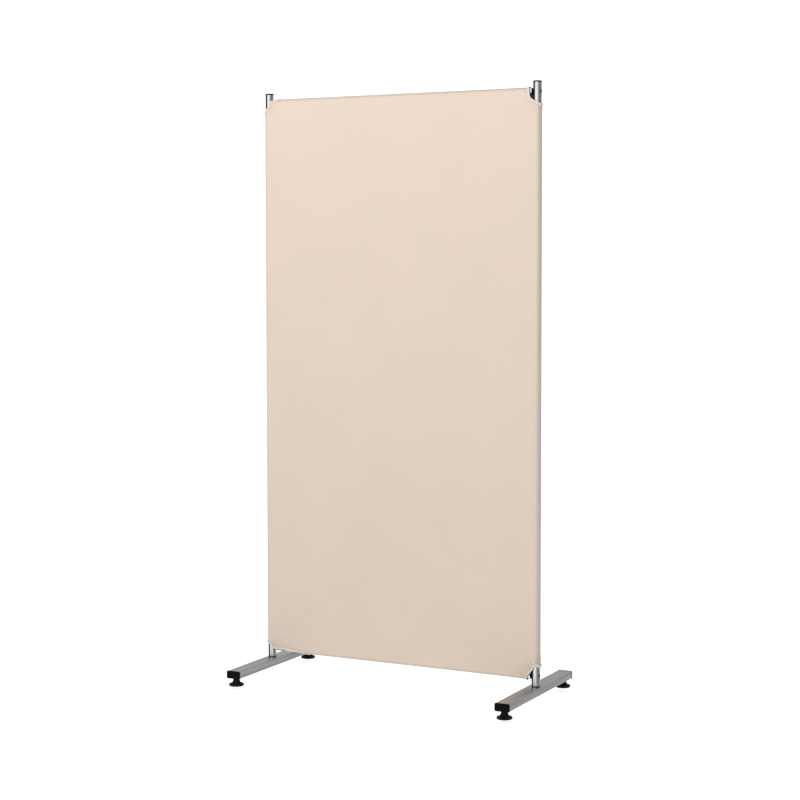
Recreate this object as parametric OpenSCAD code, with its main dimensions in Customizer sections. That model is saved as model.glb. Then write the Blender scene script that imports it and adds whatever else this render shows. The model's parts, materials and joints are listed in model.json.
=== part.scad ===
// Free-standing cloth partition screen: two round posts on T-feet, two rails and a slip-on cover.
// X runs along the panel, -Y is the front and Z is up. The origin is on the floor, at the centre.

/* [Overall] */
// Height from the floor to the top of the post caps
overall_h = 1600; // [1200:10:1900]
// Distance between the two post axes
post_spacing = 796; // [500:2:1200]
// Depth of each foot over its end caps
foot_depth = 420; // [300:10:600]

/* [Foot] */
// Width of the foot tube
foot_w = 40; // [36:1:60]
// Height of the foot tube
foot_h = 20; // [20:1:30]
// Wall thickness of the foot tube
foot_wall = 1.5; // [1.2:0.1:2]
// Outside corner radius of the foot tube
foot_corner_r = 3; // [2.5:0.5:4]
// Height of the foot tube's underside above the floor
foot_clear = 21; // [21:1:30]
// How far the foot tube's middle sits inwards of the post's axis
foot_inset = 3; // [0:1:6]
// Thickness of the end cap's flange
end_cap_t = 5; // [3:0.5:6]
// How far the end cap's flange stands proud of the tube
end_cap_lip = 0.5; // [0.2:0.1:1]
// Length of the end cap's spigot inside the tube
end_spigot_len = 12; // [8:1:16]

/* [Post] */
// Outside diameter of the post tube
post_d = 22; // [22:0.5:32]
// Wall thickness of the post tube
post_wall = 1.2; // [1:0.1:2]
// Thickness of the post cap's flange
post_cap_t = 4; // [2:0.5:5]
// How far the post cap's flange stands proud of the tube
post_cap_lip = 0.4; // [0.4:0.1:2]
// Length of the post cap's stem inside the tube
post_cap_stem = 16; // [10:1:17]

/* [Rail] */
// Outside diameter of the rail tube
rail_d = 19.1; // [16:0.1:20]
// Wall thickness of the rail tube
rail_wall = 1; // [0.8:0.1:1.5]
// Height of the bottom rail's axis above the foot tube
rail_rise = 29; // [29:1:60]
// Depth of the top rail's axis below the top of the post caps
rail_drop = 27.5; // [27.5:0.5:60]
// Thickness of the saddle washer between post and rail, on the rail's axis
saddle_t = 2; // [1.5:0.5:4]
// Length of the threaded plug in each rail end
rail_plug_len = 20; // [18:1:40]

/* [Cover] */
// Thickness of the cover cloth
cloth_t = 0.8; // [0.6:0.1:1.5]
// Gap between the cloth and the tubes under it
cloth_gap = 0.3; // [0.2:0.1:0.6]
// Radius of the elastic casing round each cut corner
casing_r = 2; // [1.5:0.1:2.5]

/* [Glide] */
// Diameter of the glide's pad
pad_d = 40; // [30:1:50]
// Height of the pad's rim
pad_rim_h = 5.5; // [4:0.5:7]
// Diameter of the pad's neck
neck_d = 17; // [15:0.5:18]
// Distance from the foot's end face to the glide's axis
glide_inset = 18; // [18:1:40]
// Nominal thread diameter of the glide's stud
stud_d = 8; // [6:1:8]
// Working clearance between the pad's neck and the nut above it
glide_gap = 0.3; // [0.2:0.1:0.5]

/* [Fasteners] */
// Shank diameter of the bolt that holds each post on its foot
base_bolt_d = 8; // [6:1:8]
// Length of that bolt under its head
base_bolt_len = 25; // [20:1:25]
// Shank diameter of the bolt that holds each rail end
rail_bolt_d = 6; // [5:1:6]
// Length of that bolt under its head
rail_bolt_len = 20; // [16:1:25]
// Diameter of the rail bolt's socket head, inside the post
rail_head_d = 10; // [8:0.5:10]
// Height of the rail bolt's head
rail_head_h = 6; // [5:0.5:6]

/* [Hidden] */
$fn = 64;

// Signs along X, Y and Z
left = -1;
right = 1;
front = -1;
back = 1;
bottom = -1;
top = 1;

// Clearance on the radius between a shaft and its hole, and between a plug and its tube
shaft_fit = 0.05;
plug_fit = 0.1;
// Extra length of a cutting tool past the surface that it cuts, and of a shank inside its head
over = 1;

// Places along the axes
post_x = post_spacing / 2;
foot_x = post_x - foot_inset;
post_r = post_d / 2;
rail_r = rail_d / 2;
foot_top = foot_clear + foot_h;
post_top = overall_h - post_cap_t;
foot_tube_len = foot_depth - 2 * end_cap_t;
glide_y = foot_depth / 2 - glide_inset;
bottom_rail_z = foot_top + rail_rise;
top_rail_z = overall_h - rail_drop;
rail_end_x = post_x - post_r - saddle_t;

// Rivet nut that takes the glide's stud
nut_flange_r = 7.5;
nut_flange_t = 1.2;
nut_body_r = 5.5;
nut_bulge_r = 7;
nut_bulge_h = 3;
nut_h = 12;
nut_bottom = foot_clear - nut_flange_t;

// Stud and pad of the glide
stud_r = stud_d / 2;
stud_seat_z = 6;
// Also keeps the stud's tip clear of the end cap's spigot
stud_tip_gap = 2.6;
stud_tip_chamfer = 1;
stud_top = foot_top - foot_wall - stud_tip_gap;
neck_top = nut_bottom - glide_gap;

// Bolts and washers
washer_t = 1.6;
washer_r = 8.5;
socket_head_h = base_bolt_d;
socket_head_r = 0.8125 * base_bolt_d;
key_access_r = 8;
post_plug_len = 22;
saddle_r = rail_r + 0.2;

// Cover: outside and inside half thickness at the posts and at the rails
post_skin_in = post_r + cloth_gap;
post_skin_out = post_skin_in + cloth_t;
rail_skin_in = rail_r + cloth_gap;
rail_skin_out = rail_skin_in + cloth_t;
skin_taper_h = 12;
cover_bottom = bottom_rail_z - rail_skin_out;
cover_top = top_rail_z + rail_skin_out;

// Each cut corner's edge on the front of the cover, from the rail up to the post's axis:
// [distance inwards from the post's axis, distance from the cover's end]. Last comes the
// distance from the cover's end at the post's outer side.
bottom_left_edge = [[21, 2], [15, 4], [9, 6], [6, 10], [3, 14], [0, 19]];
bottom_right_edge = [[23, 0], [21, 3], [18, 7], [14, 13], [5, 25], [0, 32]];
top_left_edge = [[20, 2], [16, 5], [13, 8], [12, 15], [10, 23], [0, 29]];
top_right_edge = [[16, 2], [15, 5], [14, 9], [12, 25], [6, 30], [0, 33]];
bottom_left_outer = 26;
bottom_right_outer = 31;
top_left_outer = 36;
top_right_outer = 40;
function at_post(edge) = edge[len(edge) - 1][1];
function corner_edge(side, level) =
    level == bottom
        ? (side == left ? bottom_left_edge : bottom_right_edge)
        : (side == left ? top_left_edge : top_right_edge);
function corner_outer(side, level) =
    level == bottom
        ? (side == left ? bottom_left_outer : bottom_right_outer)
        : (side == left ? top_left_outer : top_right_outer);

// The casing's centre line and the cloth's cut, measured in from that edge
casing_in = 0.75 * casing_r;
cut_in = 2 * casing_r + 0.4;
casing_skin = 0.35;
casing_sides = 8;

module rounded_rect(w, h, r) {
    square([w - 2 * r, h], center = true);
    square([w, h - 2 * r], center = true);
    for (x = [-1, 1], y = [-1, 1])
        translate([x * (w / 2 - r), y * (h / 2 - r)]) circle(r);
}

// Extrudes a shape drawn in X and Z along Y, from y = 0 towards -Y
module along_y(length) {
    rotate([90, 0, 0]) linear_extrude(length) children();
}

// Puts a shape with its axis along Z at the middle of one end of one foot
module at_glide(side, end) {
    translate([side * foot_x, end * glide_y, 0]) children();
}

// Puts a shape made for the bottom right corner at any of the four corners:
// X = 0 on the post's axis, and Z = 0 at the cover's end
module at_corner(side, level) {
    translate([side * post_x, 0, level == bottom ? cover_bottom : cover_top])
        mirror([side == left ? 1 : 0, 0, 0])
            mirror([0, 0, level == top ? 1 : 0])
                children();
}

// Puts a shape whose axis is X at one end of one rail, with X = 0 on the post's axis
// and +X pointing outwards
module at_rail_end(side, level) {
    translate([side * post_x, 0, level == bottom ? bottom_rail_z : top_rail_z])
        mirror([side == left ? 1 : 0, 0, 0])
            children();
}

// A cylinder along X between two places
module x_rod(x0, x1, r) {
    translate([x0, 0, 0]) rotate([0, 90, 0]) cylinder(h = x1 - x0, r = r);
}

module foot_tube(side) {
    bore_w = foot_w - 2 * foot_wall;
    bore_h = foot_h - 2 * foot_wall;
    color("silver")
    difference() {
        translate([side * foot_x, foot_tube_len / 2, foot_clear + foot_h / 2])
            along_y(foot_tube_len)
                difference() {
                    rounded_rect(foot_w, foot_h, foot_corner_r);
                    rounded_rect(bore_w, bore_h, foot_corner_r - foot_wall);
                }
        // Bolt hole up into the post, and the key's access hole under it
        translate([side * post_x, 0, foot_top - foot_wall - over])
            cylinder(h = foot_wall + 2 * over, r = base_bolt_d / 2 + 0.25);
        translate([side * post_x, 0, foot_clear - over])
            cylinder(h = foot_wall + 2 * over, r = key_access_r);
        for (end = [front, back])
            at_glide(side, end)
                translate([0, 0, foot_clear - over])
                    cylinder(h = foot_wall + 2 * over, r = nut_body_r + shaft_fit);
    }
}

module foot_end_cap(side, end) {
    inner_w = foot_w - 2 * foot_wall - 2 * plug_fit;
    inner_h = foot_h - 2 * foot_wall - 2 * plug_fit;
    spigot_wall = 2;
    face_step = 1;
    face_margin = 1.2;
    spigot_r = max(foot_corner_r - foot_wall, 0.8);
    flange_w = foot_w + 2 * end_cap_lip;
    flange_h = foot_h + 2 * end_cap_lip;
    color("black")
    translate([side * foot_x, end * foot_tube_len / 2, foot_clear + foot_h / 2])
        mirror([0, end == back ? 1 : 0, 0]) {
            along_y(end_cap_t - face_step)
                rounded_rect(flange_w, flange_h, foot_corner_r + end_cap_lip);
            translate([0, face_step - end_cap_t, 0])
                along_y(face_step)
                    rounded_rect(foot_w - 2 * face_margin, foot_h - 2 * face_margin, foot_corner_r);
            // Hollow spigot, slotted underneath so that it passes each side of the glide's nut
            difference() {
                translate([0, end_spigot_len, 0])
                    along_y(end_spigot_len)
                        difference() {
                            rounded_rect(inner_w, inner_h, spigot_r);
                            square([inner_w - 2 * spigot_wall, inner_h - 2 * spigot_wall], center = true);
                        }
                translate([-nut_bulge_r - over, spigot_wall, -foot_h / 2])
                    cube([2 * (nut_bulge_r + over), end_spigot_len, foot_h / 2]);
            }
        }
}

module glide_nut(side, end) {
    wall_top = foot_clear + foot_wall;
    color("lightsteelblue")
    at_glide(side, end)
        difference() {
            union() {
                translate([0, 0, nut_bottom]) cylinder(h = nut_flange_t, r = nut_flange_r);
                translate([0, 0, foot_clear]) cylinder(h = nut_h, r = nut_body_r);
                translate([0, 0, wall_top]) cylinder(h = nut_bulge_h, r = nut_bulge_r);
            }
            translate([0, 0, nut_bottom - over]) cylinder(h = nut_h + 4 * over, r = stud_r);
        }
}

module glide_stud(side, end) {
    shank_r = stud_r - shaft_fit;
    color("lightsteelblue")
    at_glide(side, end) {
        translate([0, 0, stud_seat_z + glide_gap])
            cylinder(h = stud_top - stud_tip_chamfer - stud_seat_z - glide_gap, r = shank_r);
        translate([0, 0, stud_top - stud_tip_chamfer])
            cylinder(h = stud_tip_chamfer, r1 = shank_r, r2 = shank_r - stud_tip_chamfer);
    }
}

// The pad's flare is a quarter ellipse that falls from the neck to the rim
module glide_pad(side, end) {
    pad_r = pad_d / 2;
    neck_r = neck_d / 2;
    edge = 1.2;
    flare_w = pad_r - edge - neck_r;
    flare_h = 18 - pad_rim_h;
    flare = [
        for (a = [0:15:90])
            [neck_r + flare_w * (1 - sin(a)), pad_rim_h + flare_h * (1 - cos(a))]
    ];
    outline = concat(
        [[0, 0], [pad_r - edge, 0], [pad_r, edge], [pad_r, pad_rim_h - edge]],
        flare,
        [[neck_r, neck_top], [stud_r, neck_top], [stud_r, stud_seat_z], [0, stud_seat_z]]
    );
    color("black")
    at_glide(side, end)
        rotate_extrude() polygon(outline);
}

module post(side) {
    color("gainsboro")
    difference() {
        translate([side * post_x, 0, foot_top])
            difference() {
                cylinder(h = post_top - foot_top, r = post_r);
                translate([0, 0, -over])
                    cylinder(h = post_top - foot_top + 2 * over, r = post_r - post_wall);
            }
        // Bolt holes towards the rails, and the outer holes that let the bolts' heads in
        for (level = [bottom, top])
            at_rail_end(side, level) {
                x_rod(-post_d, 0, rail_bolt_d / 2 + 0.3);
                x_rod(0, post_d, rail_head_d / 2 + 0.6);
            }
    }
}

module post_cap(side) {
    flange_r = post_r + post_cap_lip;
    stem_r = post_r - post_wall - plug_fit;
    stem_wall = 2;
    edge = 1;
    color("black")
    translate([side * post_x, 0, post_top])
        rotate_extrude()
            polygon([
                [0, post_cap_t], [flange_r - edge, post_cap_t], [flange_r, post_cap_t - edge],
                [flange_r, 0], [stem_r, 0], [stem_r, -post_cap_stem],
                [stem_r - stem_wall, -post_cap_stem], [stem_r - stem_wall, 0], [0, 0]
            ]);
}

module post_plug(side) {
    color("lightsteelblue")
    translate([side * post_x, 0, foot_top])
        difference() {
            cylinder(h = post_plug_len, r = post_r - post_wall - plug_fit);
            translate([0, 0, -over])
                cylinder(h = post_plug_len + 2 * over, r = base_bolt_d / 2);
        }
}

// Socket head bolts, put in from below through the key's access hole
module post_base_bolts() {
    head_top = foot_top - foot_wall - washer_t;
    color("dimgray")
    for (side = [left, right])
        translate([side * post_x, 0, head_top])
            difference() {
                union() {
                    cylinder(h = base_bolt_len, r = base_bolt_d / 2 - shaft_fit);
                    translate([0, 0, -socket_head_h]) cylinder(h = socket_head_h, r = socket_head_r);
                }
                translate([0, 0, -socket_head_h - over])
                    cylinder(h = socket_head_h / 2 + over, r = 0.43 * base_bolt_d, $fn = 6);
            }
}

module post_base_washers() {
    color("lightsteelblue")
    for (side = [left, right])
        translate([side * post_x, 0, foot_top - foot_wall - washer_t])
            difference() {
                cylinder(h = washer_t, r = washer_r);
                translate([0, 0, -over]) cylinder(h = washer_t + 2 * over, r = base_bolt_d / 2 + 0.2);
            }
}

module rail(z) {
    color("gainsboro")
    translate([0, 0, z])
        difference() {
            x_rod(-rail_end_x, rail_end_x, rail_r);
            x_rod(-rail_end_x - over, rail_end_x + over, rail_r - rail_wall);
        }
}

// A washer that is flat towards the rail and hollowed to sit on the round post
module rail_saddle(side, level) {
    color("black")
    at_rail_end(side, level)
        difference() {
            x_rod(-post_r - saddle_t, 0, saddle_r);
            translate([0, 0, -post_d]) cylinder(h = 2 * post_d, r = post_r);
            x_rod(-post_d, over, rail_bolt_d / 2 + 0.3);
        }
}

module rail_plug(side, level) {
    inner_end = -post_r - saddle_t;
    color("lightsteelblue")
    at_rail_end(side, level)
        difference() {
            x_rod(inner_end - rail_plug_len, inner_end, rail_r - rail_wall - plug_fit);
            x_rod(inner_end - rail_plug_len - over, inner_end + over, rail_bolt_d / 2);
        }
}

// Socket head bolts inside the posts, seated on the wall towards the rail
module rail_bolts() {
    head_r = rail_head_d / 2;
    seat_x = shaft_fit - sqrt(pow(post_r - post_wall, 2) - pow(head_r, 2));
    head_end_x = seat_x + rail_head_h;
    color("dimgray")
    for (side = [left, right], level = [bottom, top])
        at_rail_end(side, level)
            difference() {
                union() {
                    x_rod(seat_x - rail_bolt_len, seat_x + over, rail_bolt_d / 2 - shaft_fit);
                    x_rod(seat_x, head_end_x, head_r);
                }
                translate([head_end_x - rail_head_h / 2, 0, 0])
                    rotate([0, 90, 0])
                        cylinder(h = rail_head_h, r = 0.43 * rail_bolt_d, $fn = 6);
            }
}

// Solid envelope of the cover: round at the posts in plan, round at the rails from the side
module cover_envelope(post_skin, rail_skin) {
    intersection() {
        translate([0, 0, bottom_rail_z - rail_skin])
            linear_extrude(top_rail_z - bottom_rail_z + 2 * rail_skin) {
                square([post_spacing, 2 * post_skin], center = true);
                for (side = [left, right])
                    translate([side * post_x, 0]) circle(post_skin);
            }
        translate([-post_x - post_skin, 0, 0])
            rotate([90, 0, 90])
                linear_extrude(post_spacing + 2 * post_skin) {
                    for (z = [bottom_rail_z, top_rail_z])
                        translate([0, z]) circle(rail_skin);
                    polygon([
                        [rail_skin, bottom_rail_z], [post_skin, bottom_rail_z + skin_taper_h],
                        [post_skin, top_rail_z - skin_taper_h], [rail_skin, top_rail_z],
                        [-rail_skin, top_rail_z], [-post_skin, top_rail_z - skin_taper_h],
                        [-post_skin, bottom_rail_z + skin_taper_h], [-rail_skin, bottom_rail_z]
                    ]);
                }
    }
}

// Cuts one corner off the cover along its edge, right through the front and the back
module corner_cut(side, level) {
    edge = corner_edge(side, level);
    outer = corner_outer(side, level) + cut_in;
    reach = 60;
    at_corner(side, level)
        translate([0, reach / 2, 0])
            along_y(reach)
                polygon(concat(
                    [[-edge[0][0] - cut_in, -reach]],
                    [for (p = edge) [-p[0] - cut_in, p[1] + cut_in]],
                    [[0, at_post(edge) + cut_in], [post_skin_out + over, outer]],
                    [[reach, outer], [reach, -reach]]
                ));
}

module fabric_cover() {
    color("bisque")
    difference() {
        cover_envelope(post_skin_out, rail_skin_out);
        cover_envelope(post_skin_in, rail_skin_in);
        for (side = [left, right], level = [bottom, top])
            corner_cut(side, level);
    }
}

// Inside half thickness of the cover at a height v above its end, and which way the front faces there
function skin_depth(v) =
    v < rail_skin_out
        ? sqrt(v * (2 * rail_skin_out - v)) * rail_skin_in / rail_skin_out
        : rail_skin_in + (post_skin_in - rail_skin_in) * min((v - rail_skin_out) / skin_taper_h, 1);
function skin_normal(v) = v < rail_skin_out ? unit([0, -skin_depth(v), v - rail_skin_out]) : [0, -1, 0];

// Half thickness of the post's own skin at a distance w inwards from its axis
function post_depth(w) = w < post_skin_in ? sqrt(pow(post_skin_in, 2) - pow(w, 2)) : 0;

// Closed centre line of a corner's casing, for the bottom right corner, as [point, outward normal]:
// up the front, round the post, down the back and under the rail
function casing_front(edge) = [
    for (i = [0:len(edge) - 2])
        let (
            w = edge[i][0] + casing_in,
            v = edge[i][1] + casing_in,
            normal = skin_normal(v)
        )
            [[-w, -max(skin_depth(v), post_depth(w)), v] + (casing_r + casing_skin) * normal, normal]
];
function casing_post(edge, outer) = [
    for (a = [0:20:180])
        let (r = post_r + casing_r + casing_skin)
            [
                [r * sin(a), -r * cos(a), at_post(edge) + (outer - at_post(edge)) * sin(a) + casing_r],
                [sin(a), -cos(a), 0]
            ]
];
function casing_back(edge) = [
    for (i = [len(edge) - 2:-1:0])
        let (station = casing_front(edge)[i])
            [for (v = station) [v[0], -v[1], v[2]]]
];
function casing_rail(edge) = [
    for (a = [24:-24:-24])
        let (r = rail_skin_in + casing_r + casing_skin)
            [[-edge[0][0] - casing_in, r * sin(a), rail_skin_out - r * cos(a)], [0, sin(a), -cos(a)]]
];
function casing_line(edge, outer) =
    concat(casing_front(edge), casing_post(edge, outer), casing_back(edge), casing_rail(edge));

// Ring of points round station i of a closed line
function unit(v) = v / norm(v);
function casing_ring(line, i) =
    let (
        n = len(line),
        along = unit(line[(i + 1) % n][0] - line[(i + n - 1) % n][0]),
        side = unit(cross(along, line[i][1])),
        out = cross(side, along)
    )
        [
            for (k = [0:casing_sides - 1])
                let (a = 360 * k / casing_sides)
                    line[i][0] + casing_r * (cos(a) * out + sin(a) * side)
        ];

module corner_elastic(side, level) {
    line = casing_line(corner_edge(side, level), corner_outer(side, level));
    n = len(line);
    m = casing_sides;
    points = [for (i = [0:n - 1]) each casing_ring(line, i)];
    faces = [
        for (i = [0:n - 1], k = [0:m - 1])
            let (
                a = i * m + k,
                b = i * m + (k + 1) % m,
                c = ((i + 1) % n) * m + (k + 1) % m,
                d = ((i + 1) % n) * m + k
            )
                each [[a, b, c], [a, c, d]]
    ];
    color("antiquewhite")
    at_corner(side, level) polyhedron(points, faces);
}

foot_tube(left);  // foot_tube_left
foot_tube(right);  // foot_tube_right
foot_end_cap(left, front);  // foot_end_cap_front_left
foot_end_cap(right, front);  // foot_end_cap_front_right
foot_end_cap(left, back);  // foot_end_cap_back_left
foot_end_cap(right, back);  // foot_end_cap_back_right
glide_nut(left, front);  // glide_nut_front_left
glide_nut(right, front);  // glide_nut_front_right
glide_nut(left, back);  // glide_nut_back_left
glide_nut(right, back);  // glide_nut_back_right
glide_stud(left, front);  // glide_stud_front_left
glide_stud(right, front);  // glide_stud_front_right
glide_stud(left, back);  // glide_stud_back_left
glide_stud(right, back);  // glide_stud_back_right
glide_pad(left, front);  // glide_pad_front_left
glide_pad(right, front);  // glide_pad_front_right
glide_pad(left, back);  // glide_pad_back_left
glide_pad(right, back);  // glide_pad_back_right
post(left);  // post_left
post(right);  // post_right
post_cap(left);  // post_cap_left
post_cap(right);  // post_cap_right
post_plug(left);  // post_plug_left
post_plug(right);  // post_plug_right
post_base_bolts();
post_base_washers();
rail(bottom_rail_z);  // bottom_rail
rail(top_rail_z);  // top_rail
rail_saddle(left, bottom);  // rail_saddle_bottom_left
rail_saddle(right, bottom);  // rail_saddle_bottom_right
rail_saddle(left, top);  // rail_saddle_top_left
rail_saddle(right, top);  // rail_saddle_top_right
rail_plug(left, bottom);  // rail_plug_bottom_left
rail_plug(right, bottom);  // rail_plug_bottom_right
rail_plug(left, top);  // rail_plug_top_left
rail_plug(right, top);  // rail_plug_top_right
rail_bolts();
fabric_cover();
corner_elastic(left, bottom);  // corner_elastic_bottom_left
corner_elastic(right, bottom);  // corner_elastic_bottom_right
corner_elastic(left, top);  // corner_elastic_top_left
corner_elastic(right, top);  // corner_elastic_top_right
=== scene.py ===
import json
import math

import bpy
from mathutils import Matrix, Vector, noise


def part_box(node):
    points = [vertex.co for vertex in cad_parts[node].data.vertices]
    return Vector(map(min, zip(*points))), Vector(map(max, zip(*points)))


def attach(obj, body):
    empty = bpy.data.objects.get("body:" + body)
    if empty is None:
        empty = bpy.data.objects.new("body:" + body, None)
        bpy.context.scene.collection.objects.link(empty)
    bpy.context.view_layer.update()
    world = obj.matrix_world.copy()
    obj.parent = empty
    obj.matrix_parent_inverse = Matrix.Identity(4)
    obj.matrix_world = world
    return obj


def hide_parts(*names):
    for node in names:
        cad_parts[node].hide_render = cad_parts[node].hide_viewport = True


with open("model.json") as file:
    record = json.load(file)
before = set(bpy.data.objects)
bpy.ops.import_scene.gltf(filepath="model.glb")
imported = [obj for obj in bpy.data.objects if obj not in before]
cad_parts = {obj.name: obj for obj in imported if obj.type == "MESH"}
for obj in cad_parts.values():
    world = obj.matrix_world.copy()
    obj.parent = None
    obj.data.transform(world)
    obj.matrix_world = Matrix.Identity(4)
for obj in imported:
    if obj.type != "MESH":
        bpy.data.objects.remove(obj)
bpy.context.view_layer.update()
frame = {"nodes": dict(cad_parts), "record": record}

MM = 0.001


# ---------------------------------------------------------------- sizes read from the frame

def middle_and_half(node, axis):
    """(middle, half size) of a CAD node's box along one axis."""
    low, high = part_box(node)
    return (low[axis] + high[axis]) / 2, (high[axis] - low[axis]) / 2


POST_X, POST_R = middle_and_half("post_right", 0)
BOTTOM_Z, RAIL_R = middle_and_half("bottom_rail", 2)
TOP_Z, _ = middle_and_half("top_rail", 2)
FOOT_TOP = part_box("post_right")[0].z
CLOTH = 0.8 * MM
# Middle of the cloth's thickness, from the posts' and the rails' axes
POST_SKIN = middle_and_half("fabric_cover", 0)[1] - POST_X - CLOTH / 2
RAIL_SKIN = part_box("fabric_cover")[1][2] - TOP_Z - CLOTH / 2
RAIL_OUT = RAIL_SKIN + CLOTH / 2
MID_Z = (BOTTOM_Z + TOP_Z) / 2
HALF_H = (TOP_Z - BOTTOM_Z) / 2
# The cloth's own half width and half height, from its middle to the folds at the sides and ends
A_MAX = POST_X + POST_SKIN * math.pi / 2
B_MAX = HALF_H + RAIL_SKIN * math.pi / 2


# ---------------------------------------------------------------- materials

class Nodes:
    """A material's node tree, with short ways to add the nodes used here."""

    def __init__(self, name):
        self.material = bpy.data.materials.new(name)
        self.material.use_nodes = True
        self.tree = self.material.node_tree
        self.shader = self.tree.nodes["Principled BSDF"]

    def add(self, kind, links=(), **values):
        """Adds a node; values go to its sockets by name, or to its properties."""
        node = self.tree.nodes.new(kind)
        for key, value in values.items():
            label = key.replace("_", " ")
            if label in node.inputs:
                node.inputs[label].default_value = value
            else:
                setattr(node, key, value)
        for socket, source in links:
            self.tree.links.new(source, node.inputs[socket])
        return node

    def math(self, operation, a, b=0.0):
        """a and b are sockets or numbers."""
        node = self.tree.nodes.new("ShaderNodeMath")
        node.operation = operation
        for i, x in enumerate((a, b)):
            if isinstance(x, (int, float)):
                node.inputs[i].default_value = x
            else:
                self.tree.links.new(x, node.inputs[i])
        return node.outputs[0]

    def noise(self, scale, stretch=(1, 1, 1), detail=3.0, coords="Object"):
        """Noise in the object's own metres, stretched along each axis."""
        place = self.tree.nodes.new("ShaderNodeTexCoord")
        spread = self.add("ShaderNodeVectorMath", [(0, place.outputs[coords])], operation="MULTIPLY")
        spread.inputs[1].default_value = stretch
        texture = self.add("ShaderNodeTexNoise", [("Vector", spread.outputs[0])],
                           Scale=scale, Detail=detail)
        return texture.outputs["Fac"]

    def between(self, factor, low, high):
        """A number that goes from low to high as factor goes from 0.3 to 0.7."""
        node = self.add("ShaderNodeMapRange", [("Value", factor)], From_Min=0.3, From_Max=0.7,
                        To_Min=low, To_Max=high)
        return node.outputs[0]

    def tint(self, factor, first, second):
        """A colour between two, both as linear (r, g, b)."""
        node = self.tree.nodes.new("ShaderNodeMix")
        node.data_type = "RGBA"
        self.tree.links.new(factor, node.inputs[0])
        node.inputs[6].default_value = (*first, 1)
        node.inputs[7].default_value = (*second, 1)
        return node.outputs[2]

    def multiply(self, colour, factor):
        """One colour socket times another."""
        node = self.tree.nodes.new("ShaderNodeMix")
        node.data_type, node.blend_type = "RGBA", "MULTIPLY"
        node.inputs[0].default_value = 1.0
        self.tree.links.new(colour, node.inputs[6])
        self.tree.links.new(factor, node.inputs[7])
        return node.outputs[2]

    def bump(self, height, distance, strength=1.0):
        node = self.add("ShaderNodeBump", [("Height", height)], Strength=strength, Distance=distance)
        self.tree.links.new(node.outputs[0], self.shader.inputs["Normal"])

    def shade(self, **sockets):
        """Sets or links the shader's sockets, underscores standing for spaces."""
        for key, value in sockets.items():
            socket = self.shader.inputs[key.replace("_", " ")]
            if hasattr(value, "is_output"):
                self.tree.links.new(value, socket)
            elif hasattr(value, "__len__"):
                socket.default_value = (*value, 1)
            else:
                socket.default_value = value
        return self.material


def tube_chrome(name, tone):
    """Polished plate with faint smudges and drawing lines up the tube."""
    n = Nodes(name)
    smudge = n.noise(14, detail=4)
    lines = n.noise(900, (1, 1, 0.02), detail=2)
    n.bump(n.noise(60, (1, 1, 0.02), detail=1), 0.02 * MM, 0.35)
    rough = n.math("ADD", n.between(smudge, 0.07, 0.12), n.between(lines, -0.015, 0.03))
    # Painted contact shade: a dark ring on the post where it stands on the foot
    ring_low, ring_high, contact_shade_tone = FOOT_TOP + 1.5 * MM, FOOT_TOP + 4.5 * MM, 0.12
    place = n.tree.nodes.new("ShaderNodeTexCoord")
    height = n.add("ShaderNodeSeparateXYZ", [(0, place.outputs["Object"])]).outputs[2]
    painted_contact_shade = n.add("ShaderNodeMapRange", [("Value", height)], From_Min=ring_low, From_Max=ring_high,
                  To_Min=contact_shade_tone, To_Max=1.0).outputs[0]
    colour = n.multiply(n.tint(smudge, tuple(0.93 * c for c in tone), tone), painted_contact_shade)
    return n.shade(Base_Color=colour, Metallic=1.0, Roughness=rough)


def foot_chrome(name, dark, light):
    """Plate over a ground tube: hazy, with streaks along the foot."""
    n = Nodes(name)
    broad = n.noise(150, (1, 0.03, 1), detail=2)
    fine = n.noise(700, (1, 0.02, 1), detail=2)
    cloud = n.noise(18, (1, 0.5, 1), detail=3)
    streaks = n.math("ADD", n.math("MULTIPLY", broad, 0.65), n.math("MULTIPLY", fine, 0.35))
    n.bump(streaks, 0.12 * MM, 0.5)
    mixed = n.math("ADD", n.math("MULTIPLY", streaks, 0.75), n.math("MULTIPLY", cloud, 0.25))
    colour = n.tint(n.between(mixed, 0.0, 1.0), dark, light)
    return n.shade(Base_Color=colour, Metallic=1.0, Roughness=n.between(cloud, 0.34, 0.44))


def zinc(name):
    n = Nodes(name)
    grain = n.noise(500, detail=4)
    n.bump(grain, 0.03 * MM, 0.4)
    return n.shade(Base_Color=n.tint(grain, (0.42, 0.43, 0.45), (0.60, 0.61, 0.62)), Metallic=1.0,
                   Roughness=n.between(grain, 0.24, 0.40))


def black_oxide(name):
    n = Nodes(name)
    grain = n.noise(700, detail=3)
    return n.shade(Base_Color=n.tint(grain, (0.02, 0.02, 0.022), (0.05, 0.05, 0.055)), Metallic=0.8,
                   Roughness=n.between(grain, 0.38, 0.52))


def moulded(name, tone, low, high, shine):
    """Black plastic with a fine moulded grain and slight handling marks."""
    n = Nodes(name)
    grain = n.noise(2600, detail=2)
    marks = n.noise(45, detail=4)
    n.bump(grain, 0.05 * MM, 0.35)
    return n.shade(Base_Color=n.tint(marks, tone, tuple(1.7 * c for c in tone)),
                   Roughness=n.between(marks, low, high), Specular_IOR_Level=shine)


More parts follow.
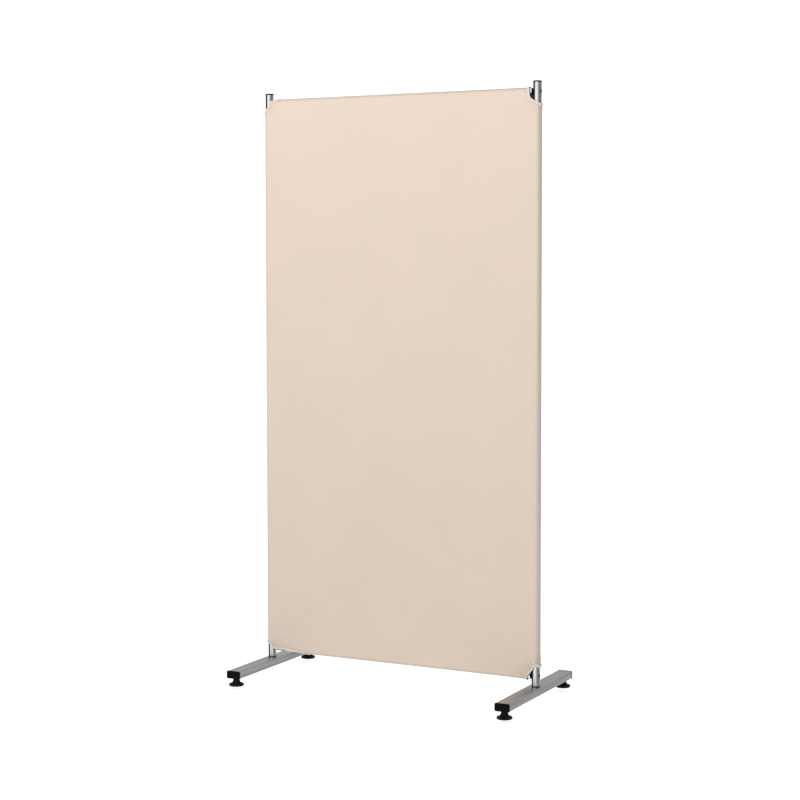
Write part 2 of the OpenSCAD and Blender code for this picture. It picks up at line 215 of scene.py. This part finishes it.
def weave(name, dark, light, pitch=0.75 * MM):
    """Plain weave: threads run both ways in the cloth's own metres, over and under each other. The mesh's
    own "tone" multiplies in painted shade: darker in creases and where the cloth turns away."""
    n = Nodes(name)
    uv = n.add("ShaderNodeUVMap", uv_map="cloth").outputs[0]
    split = n.add("ShaderNodeSeparateXYZ", [(0, uv)])
    turn = 2 * math.pi / pitch
    warp = n.math("SINE", n.math("MULTIPLY", split.outputs[0], turn))
    weft = n.math("SINE", n.math("MULTIPLY", split.outputs[1], turn))
    over = n.math("MULTIPLY", warp, weft)
    slub = n.noise(700, (1, 0.06, 1), detail=2, coords="UV")
    slub_across = n.noise(700, (0.06, 1, 1), detail=2, coords="UV")
    cloud = n.noise(5, detail=3, coords="UV")
    yarn = n.math("MULTIPLY", n.math("ADD", slub, slub_across), 0.5)
    height = n.math("ADD", n.math("MULTIPLY", over, 0.3), yarn)
    n.bump(height, 0.10 * MM, 0.5)
    mixed = n.math("ADD", n.math("MULTIPLY", yarn, 0.6), n.math("MULTIPLY", cloud, 0.4))
    # Painted shade carried on the mesh, multiplied into the colour
    tone = n.add("ShaderNodeAttribute", attribute_name="tone", attribute_type="GEOMETRY").outputs["Color"]
    colour = n.multiply(n.tint(n.between(mixed, 0.0, 1.0), dark, light), tone)
    return n.shade(Base_Color=colour, Roughness=0.92,
                   Specular_IOR_Level=0.15, Sheen_Weight=0.05, Sheen_Roughness=0.5)


def finishes():
    """The record's material slots, each with its procedural material."""
    return {
        "tube_chrome": tube_chrome("tube_chrome", (0.80, 0.81, 0.82)),
        "foot_chrome": foot_chrome("foot_chrome", (0.25, 0.26, 0.27), (0.58, 0.59, 0.61)),
        "zinc_steel": zinc("zinc_steel"),
        "black_oxide_steel": black_oxide("black_oxide_steel"),
        "black_plastic": moulded("black_plastic", (0.002, 0.002, 0.0022), 0.36, 0.52, 0.05),
        "pad_plastic": moulded("pad_plastic", (0.003, 0.003, 0.0035), 0.42, 0.60, 0.12),
        "cover_cloth": weave("cover_cloth", (0.503, 0.418, 0.350), (0.544, 0.450, 0.378)),
    }


def paint_frame(finish):
    """Gives every CAD node its slot's material."""
    for part in frame["record"]["subparts"]:
        node = frame["nodes"][part["node"]]
        node.data.materials.clear()
        node.data.materials.append(finish[part["material_slot"]])


# ---------------------------------------------------------------- meshes

def make_object(name, points, faces, material, uvs=None, tones=None):
    """A mesh object that rides on the frame. uvs holds one (u, v) per corner of each face, and tones
    one (r, g, b) per point that the cloth's colour is multiplied by."""
    mesh = bpy.data.meshes.new(name)
    mesh.from_pydata([tuple(p) for p in points], [], faces)
    mesh.materials.append(material)
    if uvs:
        layer = mesh.uv_layers.new(name="cloth")
        layer.data.foreach_set("uv", [x for face in uvs for corner in face for x in corner])
    if tones:
        layer = mesh.attributes.new("tone", "FLOAT_COLOR", "POINT")
        layer.data.foreach_set("color", [x for tone in tones for x in (*tone, 1.0)])
    mesh.polygons.foreach_set("use_smooth", [True] * len(mesh.polygons))
    mesh.update()
    obj = bpy.data.objects.new(name, mesh)
    bpy.context.collection.objects.link(obj)
    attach(obj, "frame")
    return obj


def loft(rings, close_start=True, close_end=True):
    """Points and faces of a skin through closed rings, all with the same number of points."""
    count = len(rings[0])
    points = [p for ring in rings for p in ring]
    faces = []
    for i in range(len(rings) - 1):
        for k in range(count):
            a, b = i * count + k, i * count + (k + 1) % count
            faces.append((a, b, b + count, a + count))
    if close_start:
        faces.append(tuple(range(count))[::-1])
    if close_end:
        faces.append(tuple(range(len(points) - count, len(points))))
    return points, faces


def circle(radius, count):
    """Points (x, y) of a circle, anticlockwise from +X."""
    return [(radius * math.cos(2 * math.pi * k / count), radius * math.sin(2 * math.pi * k / count))
            for k in range(count)]


def rounded_rectangle(half_w, half_h, radius, steps=6):
    """Corner points (x, z) of a rounded rectangle, anticlockwise."""
    points = []
    for quarter in range(4):
        sx, sz = ((1, 1), (-1, 1), (-1, -1), (1, -1))[quarter]
        for i in range(steps + 1):
            t = (quarter + i / steps) * math.pi / 2
            points.append((sx * (half_w - radius) + radius * math.cos(t),
                           sz * (half_h - radius) + radius * math.sin(t)))
    return points


# ---------------------------------------------------------------- the cloth's rest shape

def skin_depth(a, b):
    """How far the cloth stands from the middle plane: the rails' skin at the ends, the posts' elsewhere."""
    reach = max(HALF_H - abs(b), 0.0)
    fade = 4 * MM + 0.5 * max(POST_X - abs(a), 0.0)
    return RAIL_SKIN + (POST_SKIN - RAIL_SKIN) * (1 - math.exp(-reach / fade))


def drape(a, b):
    """(place, outward normal) of the front cloth, a across and b up from its middle, in metres of cloth.
    Past the posts' and the rails' axes it wraps round them."""
    side, end = math.copysign(1, a), math.copysign(1, b)
    past_post, past_rail = abs(a) - POST_X, abs(b) - HALF_H
    depth = skin_depth(a, b)
    if past_post > 0:
        t = past_post / POST_SKIN
        normal = Vector((side * math.sin(t), -math.cos(t), 0))
        return Vector((side * POST_X, 0, MID_Z + b)) + depth * normal, normal
    if past_rail > 0:
        t = past_rail / RAIL_SKIN
        normal = Vector((0, -math.cos(t), end * math.sin(t)))
        return Vector((a, 0, MID_Z + end * HALF_H)) + RAIL_SKIN * normal, normal
    return Vector((a, -depth, MID_Z + b)), Vector((0, -1, 0))


# How far from the post's and the rail's axes a corner's hem and gathers reach
REACH_IN, REACH_UP = 160 * MM, 100 * MM
# Painted shade that the cloth's colour is multiplied by: round the posts, over the rails and in the
# gathers' folds
POST_PAINTED_SHADE, RAIL_PAINTED_SHADE, GATHER_PAINTED_SHADE = (0.78, 0.84, 0.90), (0.84, 0.89, 0.93), (0.74, 0.70, 0.60)
# Painted shade on the casing: between its puckers, and on its side towards the cut, where the cloth doubles
# under
PUCKER_PAINTED_SHADE, UNDER_PAINTED_SHADE = (0.66, 0.66, 0.66), (0.42, 0.40, 0.38)
STITCH_TONE = (0.9, 0.9, 0.9)
WHITE = (1.0, 1.0, 1.0)


class Corner:
    """One cut corner. Its hem is a line of (inwards from the post's axis, in from the cover's end), in mm,
    from the fold under or over the rail to the outer side of the post."""

    def __init__(self, name, side, end, hem, gather, spread, fold, bulk):
        self.name, self.side, self.end, self.bulk = name, side, end, bulk
        self.gather, self.spread, self.fold = gather * MM, spread * MM, fold * MM
        start = (hem[0][0] * MM, HALF_H - B_MAX)
        last = (POST_X - A_MAX, self.unrolled(hem[-1][1] * MM))
        inner = [(w * MM, self.unrolled(v * MM)) for w, v in hem[1:-1]]
        self.line = self.smooth([start, *inner, last])
        self.arc = [0.0]
        for p, q in zip(self.line, self.line[1:]):
            self.arc.append(self.arc[-1] + math.dist(p, q))

    @staticmethod
    def unrolled(v):
        """Distance in along the cloth from the rail's axis, at a height v in from the cover's end."""
        if v >= RAIL_OUT:
            return v - RAIL_OUT
        return -RAIL_SKIN * math.asin(min((RAIL_OUT - v) / RAIL_OUT, 1.0))

    @staticmethod
    def smooth(points, step=1.0 * MM):
        """A curve through the points. It meets the folds squarely, so that the back can mirror it."""
        (w0, q0), (w1, q1) = points[0], points[1]
        (w2, q2), (w3, q3) = points[-2], points[-1]
        run = [(w1, 2 * q0 - q1), *points, (2 * w3 - w2, q2)]
        out = []
        for p0, p1, p2, p3 in zip(run, run[1:], run[2:], run[3:]):
            count = max(2, round(math.dist(p1, p2) / step))
            for i in range(count):
                t = i / count
                out.append(tuple(
                    0.5 * (2 * b + (c - a) * t + (2 * a - 5 * b + 4 * c - d) * t * t
                           + (3 * b - a - 3 * c + d) * t ** 3)
                    for a, b, c, d in zip(p0, p1, p2, p3)))
        return [*out, points[-1]]

    def local(self, a, b):
        """(w, q): in from the post's axis and in from the rail's axis, along the cloth."""
        return POST_X - self.side * a, HALF_H - self.end * b

    def cloth(self, w, q):
        return self.side * (POST_X - w), self.end * (HALF_H - q)

    def nearest(self, a, b):
        """(distance from the hem, how far along it), the distance below 0 where the cloth is cut away."""
        w, q = self.local(a, b)
        best, along, inside = 1.0, 0.0, False
        for i in range(len(self.line) - 1):
            (w0, q0), (w1, q1) = self.line[i], self.line[i + 1]
            dw, dq = w1 - w0, q1 - q0
            t = min(max(((w - w0) * dw + (q - q0) * dq) / (dw * dw + dq * dq), 0.0), 1.0)
            far = math.hypot(w - w0 - t * dw, q - q0 - t * dq)
            if far < best:
                best, along = far, self.arc[i] + t * math.hypot(dw, dq)
                inside = dw * (q - q0) - dq * (w - w0) > 0
        return (-best if inside else best), along

    def covers(self, a, b):
        """Whether a place is near enough for the hem or its gathers to reach it."""
        w, q = self.local(a, b)
        return w < REACH_IN and q < REACH_UP

    def gathers(self, a, b, back):
        """(lift, depth): how far the gathers lift the cloth, and how deep in a fold it lies, 0 to 1."""
        if not self.covers(a, b):
            return 0.0, 0.0
        far, along = self.nearest(a, b)
        far = max(far, 0.0)
        seed = 7.3 * self.side + 3.1 * self.end + (5.9 if back else 0.0)
        drift = noise.noise(Vector((along / (14 * MM), far / (30 * MM), seed)))
        strength = 0.75 + 0.5 * noise.noise(Vector((along / (9 * MM), seed, 2.0)))
        folds = 0.5 + 0.5 * math.sin(2 * math.pi * along / self.fold + 2.6 * drift)
        ends = min(1.0, 0.35 + 0.65 * min(along, self.arc[-1] - along) / (7 * MM))
        reach = math.exp(-(far / self.spread) ** 1.6) * strength * ends
        depth = min(self.gather / (2 * MM), 1.0) * min(reach, 1.0) * (1 - folds) ** 1.5
        return self.gather * reach * folds ** 1.3, depth


CORNERS = [
    Corner("bottom_right", 1, -1,
           [(24, 0), (22.5, 6), (16.5, 15), (11, 22), (5.5, 29), (0.5, 36), (-5, 40), (-10, 37), (-18, 35)],
           gather=2.3, spread=24, fold=7.4, bulk=1.0),
    Corner("bottom_left", -1, -1,
           [(118, 0), (106, 3.5), (82, 6.5), (52, 9), (30, 8.6), (18, 8.4), (11, 9.5), (7, 13), (3.5, 18),
            (-1, 22), (-9, 24), (-18, 27)],
           gather=1.0, spread=14, fold=9.0, bulk=0.7),
    Corner("top_right", 1, 1,
           [(22, 0), (21, 5), (19.5, 14), (17.5, 25), (12, 31.5), (4, 36), (-4, 40.5), (-10, 43.5),
            (-18, 44)],
           gather=0.9, spread=14, fold=8.5, bulk=0.75),
    Corner("top_left", -1, 1,
           [(34, 0), (28, 2), (20, 4), (12, 6), (8, 9.5), (6.5, 14), (5, 19.5), (1, 25.5), (-4.5, 30),
            (-10, 34.5), (-18, 38)],
           gather=0.8, spread=14, fold=9.0, bulk=0.4),
]


def ripple(a, b, back):
    """Slight unevenness of the stretched cloth, and faint tension lines out of the corners."""
    inset = min(POST_X - abs(a), HALF_H - abs(b))
    if inset <= 0:
        return 0.0
    seed = 11.0 if back else 4.0
    slow = noise.noise(Vector((a / 0.21, b / 0.47, seed)))
    upright = noise.noise(Vector((a / 0.045, b / 0.9, seed + 3)))
    lift = (0.9 * slow + 0.22 * upright) * MM * min(1.0, inset / 0.09)
    for c in CORNERS:
        w, q = c.local(a, b)
        far = math.hypot(w, q)
        if 0.02 < far < 0.45:
            ray = math.sin(math.atan2(q, w) * 21 + 5 * noise.noise(Vector((far / 0.1, c.side, c.end))))
            lift += 0.28 * MM * ray * math.exp(-far / 0.10) * min(1.0, inset / 0.03)
    return lift


def ramp(x, start, end):
    """0 up to start, 1 from end on, and even between."""
    return min(max((x - start) / (end - start), 0.0), 1.0)


def darkened(colour, factor, share):
    """A colour multiplied by a share of the way to factor."""
    return tuple(c * (1 - share * (1 - f)) for c, f in zip(colour, factor))


def surface(a, b, back):
    """(place, outward normal, tone) of the cloth, gathers included. The tone is painted shade: it greys
    where the cloth turns away round the posts and rails, and darkens in the gathers' folds.
    """
    place, normal = drape(a, b)
    lift = ripple(a, b, back)
    # Painted shade where the cloth turns round the posts and over the rails
    tone = darkened(WHITE, POST_PAINTED_SHADE, ramp((abs(a) - POST_X) / POST_SKIN, 0.15, 0.85))
    tone = darkened(tone, RAIL_PAINTED_SHADE, ramp((abs(b) - HALF_H) / RAIL_SKIN, 0.2, 0.8))
    for c in CORNERS:
        if c.side * a > 0 and c.end * b > 0:
            gather_lift, depth = c.gathers(a, b, back)
            lift += gather_lift
            # Painted shade deep in the gathers' folds
            tone = darkened(tone, GATHER_PAINTED_SHADE, depth)
    place = place + normal * lift
    if back:
        place.y, normal.y = -place.y, -normal.y
    return place, normal, tone


# ---------------------------------------------------------------- the cover

def spaced(fold, axis, fine_to, fine, growth, coarse):
    """Grid lines from -fold to fold, fine near the folds and coarser towards the middle."""
    wrap = max(2, round((fold - axis) / fine))
    half = [fold - (fold - axis) * i / wrap for i in range(wrap)]
    place, step = axis, fine
    while place > step / 2:
        half.append(place)
        if axis - place > fine_to:
            step = min(step * growth, coarse)
        place -= step
    return [-x for x in half] + [0.0] + half[::-1]


def signed_distance(a, b):
    """Distance into the cloth from the nearest hem, below 0 where a corner is cut away."""
    for c in CORNERS:
        if c.side * a > 0 and c.end * b > 0 and c.covers(a, b):
            return c.nearest(a, b)[0]
    return 1.0


def cover_mesh(columns, rows):
    """Points, faces, face uvs and tones of the sleeve: front and back grids, trimmed along the hems."""
    kept = [[signed_distance(a, b) for b in rows] for a in columns]
    points, tones, index = [], [], {}

    def vertex(key, a, b, back):
        """The front and the back share the vertices on the folds."""
        on_fold = abs(a) > A_MAX - 1e-7 or abs(b) > B_MAX - 1e-7
        key = (key, False if on_fold else back)
        if key not in index:
            index[key] = len(points)
            place, _, tone = surface(a, b, back)
            points.append(place)
            tones.append(tone)
        return index[key]

    def crossing(p, q):
        """Where the hem crosses a grid edge, always worked out the same way round."""
        (i0, j0), (i1, j1) = min(p, q), max(p, q)
        f0, f1 = kept[i0][j0], kept[i1][j1]
        t = min(max(f0 / (f0 - f1), 0.04), 0.96)
        return (columns[i0] + t * (columns[i1] - columns[i0]), rows[j0] + t * (rows[j1] - rows[j0]))

    faces, uvs = [], []
    for back in (False, True):
        for i in range(len(columns) - 1):
            for j in range(len(rows) - 1):
                cell = [(i, j), (i + 1, j), (i + 1, j + 1), (i, j + 1)]
                outline = []
                for p, q in zip(cell, cell[1:] + cell[:1]):
                    inside_p, inside_q = kept[p[0]][p[1]] > 0, kept[q[0]][q[1]] > 0
                    if inside_p:
                        outline.append((p, columns[p[0]], rows[p[1]]))
                    if inside_p != inside_q:
                        outline.append(((min(p, q), max(p, q)), *crossing(p, q)))
                if len(outline) < 3:
                    continue
                if back:
                    outline.reverse()
                faces.append([vertex(key, a, b, back) for key, a, b in outline])
                uvs.append([(2 * A_MAX - a if back else a, b) for _, a, b in outline])
    return points, faces, uvs, tones


def build_cover(material):
    columns = spaced(A_MAX, POST_X, 0.045, 1.6 * MM, 1.055, 14 * MM)
    rows = spaced(B_MAX, HALF_H, 0.055, 1.6 * MM, 1.10, 20 * MM)
    points, faces, uvs, tones = cover_mesh(columns, rows)
    cover = make_object("cover_cloth", points, faces, material, uvs, tones)
    solid = cover.modifiers.new("thickness", "SOLIDIFY")
    solid.thickness = CLOTH
    solid.offset = 0
    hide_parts("fabric_cover")
    return cover


# ---------------------------------------------------------------- hems

def hem_loop(corner, inset=0.0):
    """Closed run of (cloth a, cloth b, back) along a hem, a distance in from its line."""
    front = []
    count = len(corner.line)
    for i, (w, q) in enumerate(corner.line):
        (w0, q0), (w1, q1) = corner.line[max(i - 1, 0)], corner.line[min(i + 1, count - 1)]
        dw, dq = w1 - w0, q1 - q0
        size = math.hypot(dw, dq)
        w, q = w + inset * dq / size, q - inset * dw / size
        front.append(corner.cloth(max(w, POST_X - A_MAX), max(q, HALF_H - B_MAX)))
    return [(a, b, False) for a, b in front] + [(a, b, True) for a, b in front[-2:0:-1]]


def frames_along(corner, inset=0.0, lift=0.0):
    """Closed run of (place, sideways, outward) round a hem; sideways points into the cloth."""
    spots = [surface(a, b, back) for a, b, back in hem_loop(corner, inset)]
    count = len(spots)
    hand = corner.side * corner.end
    run = []
    for i, (place, normal, _) in enumerate(spots):
        along = (spots[(i + 1) % count][0] - spots[i - 1][0]).normalized()
        across = along.cross(normal).normalized() * hand
        run.append((place + lift * normal, across, along.cross(across).normalized() * -hand))
    return run


def build_casing(corner, material):
    """The gathered casing over the elastic: a flattened, puckered tube round the cut corner."""
    sides, girth_step = 14, 0.9 * MM
    turn = -corner.side * corner.end * 2 * math.pi / sides
    run = frames_along(corner, 0.4 * MM, 0.7 * MM)
    rings, uvs, tones, length = [], [], [], 0.0
    for i, (place, across, out) in enumerate(run):
        length += (place - run[i - 1][0]).length if i else 0.0
        drift = noise.noise(Vector((length / (7 * MM), corner.side, corner.end)))
        pucker = math.sin(2 * math.pi * length / (4.2 * MM) + 2.2 * drift)
        # Flatter where it turns over the rail
        from_fold = min(i, len(run) - i) * MM
        bulk = corner.bulk + (1 - corner.bulk) * min(from_fold / (30 * MM), 1.0)
        wide = (3.3 + 0.28 * pucker + 0.4 * drift) * MM
        tall = (1.9 + 0.34 * pucker + 0.3 * drift) * bulk * MM
        # Painted shade between the puckers
        valley_shade = darkened(WHITE, PUCKER_PAINTED_SHADE, 0.45 * (0.5 - 0.5 * pucker) ** 2)
        ring = []
        for k in range(sides):
            side, up = math.cos(turn * k), math.sin(turn * k)
            # Flat underneath, against the cloth
            rise = up if up > 0 else 0.35 * up
            ring.append(place + wide * side * across + tall * rise * out)
            # Painted shade on the side towards the cut and underneath, where the cloth doubles under
            tones.append(darkened(valley_shade, UNDER_PAINTED_SHADE, ramp(-side - 0.5 * up, 0.45, 0.95)))
        rings.append(ring)
    points, faces = loft([*rings, rings[0]], False, False)
    count = len(rings) * sides
    faces = [tuple(v % count for v in face) for face in faces]
    step = length / len(rings)
    for i in range(len(rings)):
        for k in range(sides):
            u0, v0, v1 = i * step, k * girth_step, (k + 1) * girth_step
            uvs.append(((u0, v0), (u0, v1), (u0 + step, v1), (u0 + step, v0)))
    casing = make_object(f"casing_{corner.name}", points[:count], faces, material,
                         uvs, tones)
    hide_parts(f"corner_elastic_{corner.name}")
    return casing


def build_stitches(corner, material):
    """A row of small stitches where the casing is sewn to the cover. Each is two steps of the hem long,
    its ends sunk in the cloth, and they start four steps apart."""
    run = frames_along(corner, 4.1 * MM, 0.5 * MM)
    points, faces = [], []
    thread, sides, spacing = 0.2 * MM, 6, 4
    turn = -corner.side * corner.end * 2 * math.pi / sides
    for start in range(0, len(run) - 3, spacing):
        rings = []
        for i, (radius, sink) in enumerate(((0.6 * thread, 0.25 * MM), (thread, 0.0),
                                            (0.6 * thread, 0.25 * MM))):
            place, across, out = run[start + i]
            rings.append([place - sink * out + radius * (math.cos(t) * across + math.sin(t) * out)
                          for t in (turn * k for k in range(sides))])
        more, new = loft(rings)
        faces += [tuple(v + len(points) for v in face) for face in new]
        points += more
    uvs = [[(points[v].x, points[v].z) for v in face] for face in faces]
    tones = [STITCH_TONE] * len(points)
    return make_object(f"stitches_{corner.name}", points, faces, material, uvs, tones)


# ---------------------------------------------------------------- moulded caps

def build_end_cap(node, finish):
    """Pillowed cap in a foot tube's end, over the CAD cap's flange."""
    low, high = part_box(node)
    out = -1 if "front" in node else 1
    cx, cz = (low.x + high.x) / 2, (low.z + high.z) / 2
    half_w, half_h = (high.x - low.x) / 2, (high.z - low.z) / 2
    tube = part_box("foot_tube_left" if "left" in node else "foot_tube_right")
    root = tube[1].y if out > 0 else -tube[1].y
    face = (high.y if out > 0 else low.y) - root
    # (share of the cap's thickness, how far the outline is drawn in, mm)
    profile = [(-0.9, 2.6), (0.0, 2.6), (0.0, 0.5), (0.04, 0.15), (0.10, 0.0), (0.55, 0.0), (0.68, 0.15),
               (0.79, 0.5), (0.88, 1.1), (0.94, 2.0), (0.975, 3.4), (0.99, 5.2), (1.0, 7.5)]
    rings = []
    for share, drawn_in in profile:
        inset = drawn_in * MM
        radius = max(3.5 * MM - 0.6 * inset, 0.8 * MM)
        rings.append([Vector((cx + x, root + share * face, cz + z))
                      for x, z in rounded_rectangle(half_w - inset, half_h - inset, radius)])
    points, faces = loft(rings)
    if out > 0:
        faces = [face[::-1] for face in faces]
    cap = make_object(f"cap_{node}", points, faces, finish["black_plastic"])
    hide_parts(node)


def build_post_cap(node, finish):
    """Low domed cap on a post, with a rounded rim."""
    low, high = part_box(node)
    cx, radius = (low.x + high.x) / 2, (high.x - low.x) / 2
    top = high.z
    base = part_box(node.replace("post_cap", "post"))[1].z
    tall = top - base
    # (how far the radius is drawn in, mm, share of the flange's height)
    profile = [(2.4, -2.0), (2.4, 0.0), (0.3, 0.0), (0.05, 0.10), (0.0, 0.25), (0.0, 0.50), (0.15, 0.68),
               (0.6, 0.82), (1.5, 0.91), (3.5, 0.96), (7.0, 0.99), (10.0, 1.0)]
    rings = []
    for drawn_in, share in profile:
        r, z = radius - drawn_in * MM, base + share * tall
        rings.append([Vector((cx + x, y, z)) for x, y in circle(r, 48)])
    points, faces = loft(rings)
    cap = make_object(f"cap_{node}", points, faces, finish["black_plastic"])
    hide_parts(node)


# ---------------------------------------------------------------- stage

# The floor is just below the glides' full travel, so that it doesn't hide them when they are out
FLOOR_Z = -10.2 * MM
# Radius and heights of the walls that the metal reflects
WALL_R, WALL_LOW, WALL_HIGH = 6.2, -1.7, 3.6


def stage_object(name, points, faces, material, smooth=True):
    mesh = bpy.data.meshes.new(name)
    mesh.from_pydata([tuple(p) for p in points], [], faces)
    mesh.materials.append(material)
    mesh.polygons.foreach_set("use_smooth", [smooth] * len(mesh.polygons))
    obj = bpy.data.objects.new(name, mesh)
    bpy.context.collection.objects.link(obj)
    return obj


def studio_bowl():
    """Pale floor that curves up all round, the same from every side."""
    flat, curve, top, steps = 6.5, 2.5, 7.0, 12
    profile = [(0.02, 0.0), (2.0, 0.0), (4.0, 0.0), (flat, 0.0)]
    profile += [(flat + curve * math.sin(t), curve - curve * math.cos(t))
                for t in (math.pi / 2 * i / steps for i in range(1, steps + 1))]
    profile += [(flat + curve, 4.0), (flat + curve, top)]
    rings = [[(x, y, FLOOR_Z + z) for x, y in circle(r, 96)] for r, z in profile]
    points, faces = loft(rings, close_start=True, close_end=False)
    n = Nodes("stage_white")
    n.shade(Base_Color=(0.40, 0.40, 0.40), Roughness=0.9, Specular_IOR_Level=0.1,
            Emission_Color=(1, 1, 1), Emission_Strength=0.80)
    # The metal sees the reflected walls instead
    stage_object("studio_floor", points, [face[::-1] for face in faces], n.material).visible_glossy = False


def only_reflected(obj):
    """Seen in the polished metal, but not by the camera, and it takes no light away."""
    obj.visible_camera = False
    obj.visible_diffuse = False
    obj.visible_shadow = False
    obj.visible_transmission = False


def reflected_walls():
    """Ring of studio walls for the metal to reflect: light panels at the front left, dim elsewhere.
    Angles go from the front, -Y, towards +X."""
    tones = [(-180, 0.45), (-158, 0.55), (-148, 0.60), (-138, 0.60), (-126, 0.05), (-62, 0.02), (-46, 0.35),
             (-38, 1.05), (24, 1.05), (38, 0.42), (75, 0.20), (122, 0.22), (142, 0.34), (152, 0.62),
             (164, 0.90), (180, 0.45)]
    rings = [[(x, y, z) for x, y in circle(WALL_R, 180)] for z in (WALL_LOW, WALL_HIGH)]
    points, faces = loft(rings, False, False)
    n = Nodes("stage_walls")
    n.tree.nodes.remove(n.shader)
    place = n.tree.nodes.new("ShaderNodeTexCoord")
    split = n.add("ShaderNodeSeparateXYZ", [(0, place.outputs["Object"])])
    turned = n.math("ARCTAN2", split.outputs[0], n.math("MULTIPLY", split.outputs[1], -1.0))
    share = n.math("ADD", n.math("DIVIDE", turned, 2 * math.pi), 0.5)
    tone = n.add("ShaderNodeValToRGB", [("Fac", share)])
    stops = tone.color_ramp.elements
    while len(stops) < len(tones):
        stops.new(0.5)
    for stop, (angle, grey) in zip(stops, tones):
        stop.position = (angle + 180) / 360
        stop.color = (grey, grey, grey, 1)
    glow = n.add("ShaderNodeEmission", [("Color", tone.outputs[0])])
    n.tree.links.new(glow.outputs[0], n.tree.nodes["Material Output"].inputs["Surface"])
    only_reflected(stage_object("studio_walls", points, faces, n.material))


def reflected_disc(name, z, glow):
    """Soft white ceiling or floor that only the metal sees."""
    n = Nodes(name)
    n.shade(Base_Color=(0, 0, 0), Specular_IOR_Level=0.0, Emission_Color=(1, 1, 1), Emission_Strength=glow)
    points = [(x, y, z) for x, y in circle(WALL_R, 64)]
    only_reflected(stage_object(name, points, [tuple(range(len(points)))], n.material, smooth=False))


def light(name, place, target, size, power):
    data = bpy.data.lights.new(name, "AREA")
    data.shape, data.size, data.size_y, data.energy = "RECTANGLE", size[0], size[1], power
    lamp = bpy.data.objects.new(name, data)
    lamp.location = place
    lamp.rotation_euler = (Vector(target) - Vector(place)).to_track_quat("-Z", "Y").to_euler()
    lamp.visible_camera = False
    lamp.visible_glossy = False
    bpy.context.collection.objects.link(lamp)


def studio_lights():
    light("key", (-0.2, -2.6, 3.1), (0, 0, 1.5), (1.8, 1.4), 74)
    light("back_fill", (0.2, 2.6, 3.1), (0, 0, 1.5), (1.8, 1.4), 48)
    world = bpy.data.worlds.new("studio")
    world.use_nodes = True
    background = world.node_tree.nodes["Background"]
    background.inputs["Color"].default_value = (1, 1, 1, 1)
    background.inputs["Strength"].default_value = 0.30
    bpy.context.scene.world = world


def camera():
    data = bpy.data.cameras.new("camera")
    data.lens, data.sensor_width = 82.153, 36
    data.shift_y = -0.0475
    data.clip_end = 60
    cam = bpy.data.objects.new("camera", data)
    pitch, roll, yaw = -0.05570, 0.0012, 0.47665
    cam.location = (2.2311, -4.3137, 1.1440)
    cam.rotation_euler = (math.pi / 2 + pitch, roll, yaw)
    bpy.context.collection.objects.link(cam)
    bpy.context.scene.camera = cam


# ---------------------------------------------------------------- build

finish = finishes()
paint_frame(finish)

cover = build_cover(finish["cover_cloth"])
# The casing's and the stitches' cloth, lighter than the cover's: a painted highlight on the puffed hem
casing_cloth = weave("casing_cloth", (0.580, 0.492, 0.425), (0.638, 0.548, 0.477), 0.6 * MM)
sewn = []
for corner in CORNERS:
    sewn += [build_casing(corner, casing_cloth), build_stitches(corner, casing_cloth)]

for place in ("front_left", "front_right", "back_left", "back_right"):
    build_end_cap(f"foot_end_cap_{place}", finish)
for place in ("left", "right"):
    build_post_cap(f"post_cap_{place}", finish)

studio_bowl()
reflected_walls()
reflected_disc("studio_ceiling", WALL_HIGH, 0.9)
reflected_disc("studio_light_floor", WALL_LOW, 1.0)
studio_lights()
camera()
bpy.context.scene.view_settings.view_transform = "Standard"
